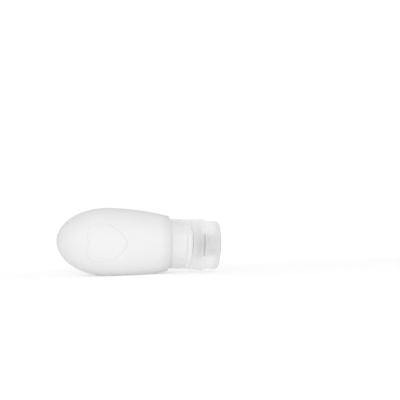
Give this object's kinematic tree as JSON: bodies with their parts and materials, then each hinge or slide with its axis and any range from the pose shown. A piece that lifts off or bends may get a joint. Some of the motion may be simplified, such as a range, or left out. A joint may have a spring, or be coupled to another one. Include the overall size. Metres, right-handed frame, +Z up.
{
  "type": "squeezable travel bottle",
  "caption": "Soft silicone travel bottle lying on its side: domed body with a pressed heart line, clear label ring, and a clear screw cap whose hinged lid flips open.",
  "frame": {"origin": "on the floor, in the middle of the flat patch on which the soft belly lies", "axes": "+X along the bottle towards its cap, +Y away from the heart towards the lid hinge, +Z up; the bottle's own axis dips 3.5 degrees towards the cap"},
  "size_m": [0.1087, 0.0456, 0.045],
  "materials": {
    "milky_silicone": "satin moulded silicone, milky white",
    "seal_silicone": "satin moulded silicone",
    "clear_plastic": "clear moulded plastic",
    "frosted_plastic": "lightly frosted moulded plastic",
    "pin_steel": "drawn wire"
  },
  "bodies": {
    "bottle": {"squeeze_bottle": "milky_silicone", "neck_insert": "clear_plastic"},
    "label_ring": {"label_ring": "clear_plastic"},
    "sealing_ring": {"cap_gasket": "seal_silicone"},
    "screw_cap": {"cap_base": "frosted_plastic", "spout_valve": "seal_silicone", "valve_retainer": "frosted_plastic", "hinge_pin": "pin_steel"},
    "lid": {"flip_lid": "frosted_plastic", "lid_stopper": "seal_silicone"}
  },
  "joints": [
    {"name": "ring_turn", "type": "hinge", "parent": "bottle", "child": "label_ring", "pos_m": [0.03516, 0, 0.01946], "axis": [0.9981, 0, -0.061], "continuous": true},
    {"name": "cap_rise", "type": "slide", "parent": "bottle", "child": "sealing_ring", "axis": [0.9981, 0, -0.061], "range_m": [0, 0.006]},
    {"name": "cap_turn", "type": "hinge", "parent": "sealing_ring", "child": "screw_cap", "pos_m": [0.04838, 0, 0.01865], "axis": [0.9981, 0, -0.061], "range_deg": [0, 540]},
    {"name": "lid_flip", "type": "hinge", "parent": "screw_cap", "child": "lid", "pos_m": [0.05287, 0.0179, 0.01838], "axis": [0.061, 0, 0.9981], "range_deg": [0, 135]}
  ],
  "couplings": [
    {"joint": "cap_rise", "follows": "cap_turn", "m_per_rad": 0.00063662}
  ]
}
